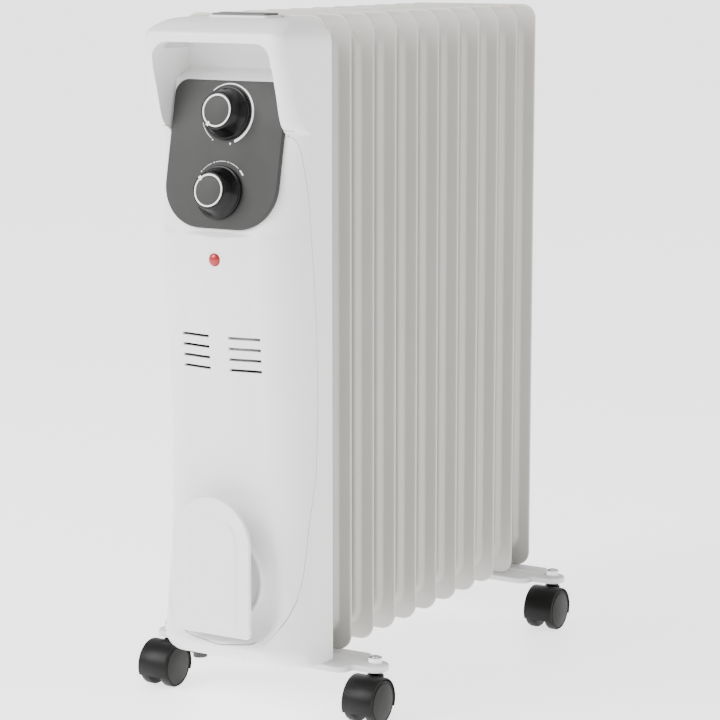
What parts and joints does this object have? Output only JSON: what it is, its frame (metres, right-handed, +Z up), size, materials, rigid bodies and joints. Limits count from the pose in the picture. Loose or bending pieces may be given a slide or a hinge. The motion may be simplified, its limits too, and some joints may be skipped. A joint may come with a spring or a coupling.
{
  "type": "oil filled radiator heater",
  "caption": "Upright column heater: pressed steel fins on a moulded control housing with a handle, two dials and a cord wrap, rolling on swivel casters.",
  "frame": {"origin": "on the floor, under the middle of the bounding box", "axes": "+Z up, +X across the fins to the right seen from the controls, -Y towards the control end"},
  "size_m": [0.255, 0.499, 0.6337],
  "materials": {
    "fin_enamel": "satin",
    "foot_enamel": "satin",
    "white_plastic": "satin",
    "grille_plastic": "satin",
    "panel_plastic": "satin",
    "knob_plastic": "satin",
    "ring_white": "gloss",
    "lens_red": "gloss",
    "caster_plastic": "matt",
    "caster_wheel": "satin",
    "zinc_steel": "zinc plated",
    "element_steel": "bright",
    "flange_brass": "turned",
    "gasket_rubber": "matt",
    "control_case": "matt",
    "gland_plastic": "matt"
  },
  "bodies": {
    "radiator": {"fin_00": "fin_enamel", "fin_01": "fin_enamel", "fin_02": "fin_enamel", "fin_03": "fin_enamel", "fin_04": "fin_enamel", "fin_05": "fin_enamel", "fin_06": "fin_enamel", "fin_07": "fin_enamel", "fin_08": "fin_enamel", "fin_09": "fin_enamel", "fin_10": "fin_enamel", "header_plugs": "fin_enamel", "heating_element_low": "element_steel", "heating_element_high": "element_steel", "element_flange": "flange_brass", "flange_gasket": "gasket_rubber", "foot_front": "foot_enamel", "foot_rear": "foot_enamel", "u_bolts": "zinc_steel", "wing_nuts": "zinc_steel", "caster_stems": "zinc_steel", "stem_nuts": "zinc_steel", "front_cover": "white_plastic", "rear_shell": "white_plastic", "top_grille": "grille_plastic", "control_plate": "panel_plastic", "thermostat_body": "control_case", "selector_body": "control_case", "pilot_lens": "lens_red", "pilot_lamp": "control_case", "cord_wrap_plate": "white_plastic", "cord_wrap_drum": "white_plastic", "mounting_bracket": "zinc_steel", "housing_screws": "zinc_steel", "terminal_block": "control_case", "tip_switch": "control_case", "thermal_cutout": "control_case", "cord_gland": "gland_plastic"},
    "caster_fl": {"caster_fl_hood": "caster_plastic", "caster_fl_axle": "zinc_steel"},
    "caster_fl_left_wheel": {"caster_fl_wheel_left": "caster_wheel"},
    "caster_fl_right_wheel": {"caster_fl_wheel_right": "caster_wheel"},
    "caster_fr": {"caster_fr_hood": "caster_plastic", "caster_fr_axle": "zinc_steel"},
    "caster_fr_left_wheel": {"caster_fr_wheel_left": "caster_wheel"},
    "caster_fr_right_wheel": {"caster_fr_wheel_right": "caster_wheel"},
    "caster_rl": {"caster_rl_hood": "caster_plastic", "caster_rl_axle": "zinc_steel"},
    "caster_rl_left_wheel": {"caster_rl_wheel_left": "caster_wheel"},
    "caster_rl_right_wheel": {"caster_rl_wheel_right": "caster_wheel"},
    "caster_rr": {"caster_rr_hood": "caster_plastic", "caster_rr_axle": "zinc_steel"},
    "caster_rr_left_wheel": {"caster_rr_wheel_left": "caster_wheel"},
    "caster_rr_right_wheel": {"caster_rr_wheel_right": "caster_wheel"},
    "thermostat_dial": {"thermostat_knob": "knob_plastic", "thermostat_knob_ring": "ring_white", "thermostat_shaft": "zinc_steel"},
    "selector_dial": {"selector_knob": "knob_plastic", "selector_knob_ring": "ring_white", "selector_shaft": "zinc_steel"}
  },
  "joints": [
    {"name": "caster_fl_swivel", "type": "hinge", "parent": "radiator", "child": "caster_fl", "pos_m": [-0.112, -0.1505, 0.042], "axis": [0, 0, 1], "continuous": true},
    {"name": "caster_fl_left_roll", "type": "hinge", "parent": "caster_fl", "child": "caster_fl_left_wheel", "pos_m": [-0.112, -0.1625, 0.0205], "axis": [1, 0, 0], "continuous": true},
    {"name": "caster_fl_right_roll", "type": "hinge", "parent": "caster_fl", "child": "caster_fl_right_wheel", "pos_m": [-0.112, -0.1625, 0.0205], "axis": [1, 0, 0], "continuous": true},
    {"name": "caster_fr_swivel", "type": "hinge", "parent": "radiator", "child": "caster_fr", "pos_m": [0.112, -0.1505, 0.042], "axis": [0, 0, 1], "continuous": true},
    {"name": "caster_fr_left_roll", "type": "hinge", "parent": "caster_fr", "child": "caster_fr_left_wheel", "pos_m": [0.112, -0.1625, 0.0205], "axis": [1, 0, 0], "continuous": true},
    {"name": "caster_fr_right_roll", "type": "hinge", "parent": "caster_fr", "child": "caster_fr_right_wheel", "pos_m": [0.112, -0.1625, 0.0205], "axis": [1, 0, 0], "continuous": true},
    {"name": "caster_rl_swivel", "type": "hinge", "parent": "radiator", "child": "caster_rl", "pos_m": [-0.112, 0.2095, 0.042], "axis": [0, 0, 1], "continuous": true},
    {"name": "caster_rl_left_roll", "type": "hinge", "parent": "caster_rl", "child": "caster_rl_left_wheel", "pos_m": [-0.112, 0.1975, 0.0205], "axis": [1, 0, 0], "continuous": true},
    {"name": "caster_rl_right_roll", "type": "hinge", "parent": "caster_rl", "child": "caster_rl_right_wheel", "pos_m": [-0.112, 0.1975, 0.0205], "axis": [1, 0, 0], "continuous": true},
    {"name": "caster_rr_swivel", "type": "hinge", "parent": "radiator", "child": "caster_rr", "pos_m": [0.112, 0.2095, 0.042], "axis": [0, 0, 1], "continuous": true},
    {"name": "caster_rr_left_roll", "type": "hinge", "parent": "caster_rr", "child": "caster_rr_left_wheel", "pos_m": [0.112, 0.1975, 0.0205], "axis": [1, 0, 0], "continuous": true},
    {"name": "caster_rr_right_roll", "type": "hinge", "parent": "caster_rr", "child": "caster_rr_right_wheel", "pos_m": [0.112, 0.1975, 0.0205], "axis": [1, 0, 0], "continuous": true},
    {"name": "thermostat_turn", "type": "hinge", "parent": "radiator", "child": "thermostat_dial", "pos_m": [0, -0.21419, 0.54764], "axis": [0, 0.9796, -0.2011], "range_deg": [0, 285]},
    {"name": "selector_turn", "type": "hinge", "parent": "radiator", "child": "selector_dial", "pos_m": [0, -0.22817, 0.47956], "axis": [0, 0.9796, -0.2011], "range_deg": [0, 105]}
  ]
}
